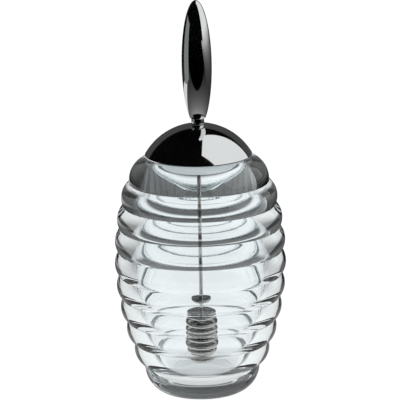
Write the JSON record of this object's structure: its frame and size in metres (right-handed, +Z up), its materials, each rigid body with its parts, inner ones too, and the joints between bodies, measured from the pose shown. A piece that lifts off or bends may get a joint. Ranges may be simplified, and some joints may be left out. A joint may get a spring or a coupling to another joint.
{
  "type": "honey pot",
  "caption": "Barrel-shaped ribbed glass honey pot with a domed steel lid that lifts off and a steel dipper that slides and turns through the lid.",
  "frame": {"origin": "centre of the pot's round foot, on the surface it stands on", "axes": "+Z up along the common axis of pot, lid and dipper; +Y away from the pictured front"},
  "size_m": [0.086, 0.086, 0.2],
  "materials": {
    "clear_glass": "clear polished pressed glass",
    "lid_steel": "mirror-polished steel",
    "handle_steel": "mirror-polished steel",
    "dipper_steel": "polished steel",
    "liner_plastic": "smooth natural plastic",
    "bush_plastic": "smooth natural plastic"
  },
  "bodies": {
    "pot": {"glass_pot": "clear_glass"},
    "lid": {"lid_dome": "lid_steel", "lid_liner": "liner_plastic"},
    "bush": {"guide_bush": "bush_plastic"},
    "dipper": {"handle": "handle_steel", "neck": "handle_steel", "stem": "dipper_steel", "stop_disc": "dipper_steel", "head_disc_1": "dipper_steel", "head_disc_2": "dipper_steel", "head_disc_3": "dipper_steel", "head_disc_4": "dipper_steel", "head_disc_5": "dipper_steel", "head_disc_6": "dipper_steel", "head_disc_7": "dipper_steel", "spacer_1": "dipper_steel", "spacer_2": "dipper_steel", "spacer_3": "dipper_steel", "spacer_4": "dipper_steel", "spacer_5": "dipper_steel", "spacer_6": "dipper_steel", "end_cap": "dipper_steel"}
  },
  "joints": [
    {"name": "lid_lift", "type": "slide", "parent": "pot", "child": "lid", "axis": [0, 0, 1], "range_m": [0, 0.12]},
    {"name": "dipper_spin", "type": "hinge", "parent": "lid", "child": "bush", "pos_m": [0, 0, 0.121], "axis": [0, 0, 1], "continuous": true},
    {"name": "dipper_slide", "type": "slide", "parent": "bush", "child": "dipper", "axis": [0, 0, 1], "range_m": [0, 0.0765]}
  ]
}
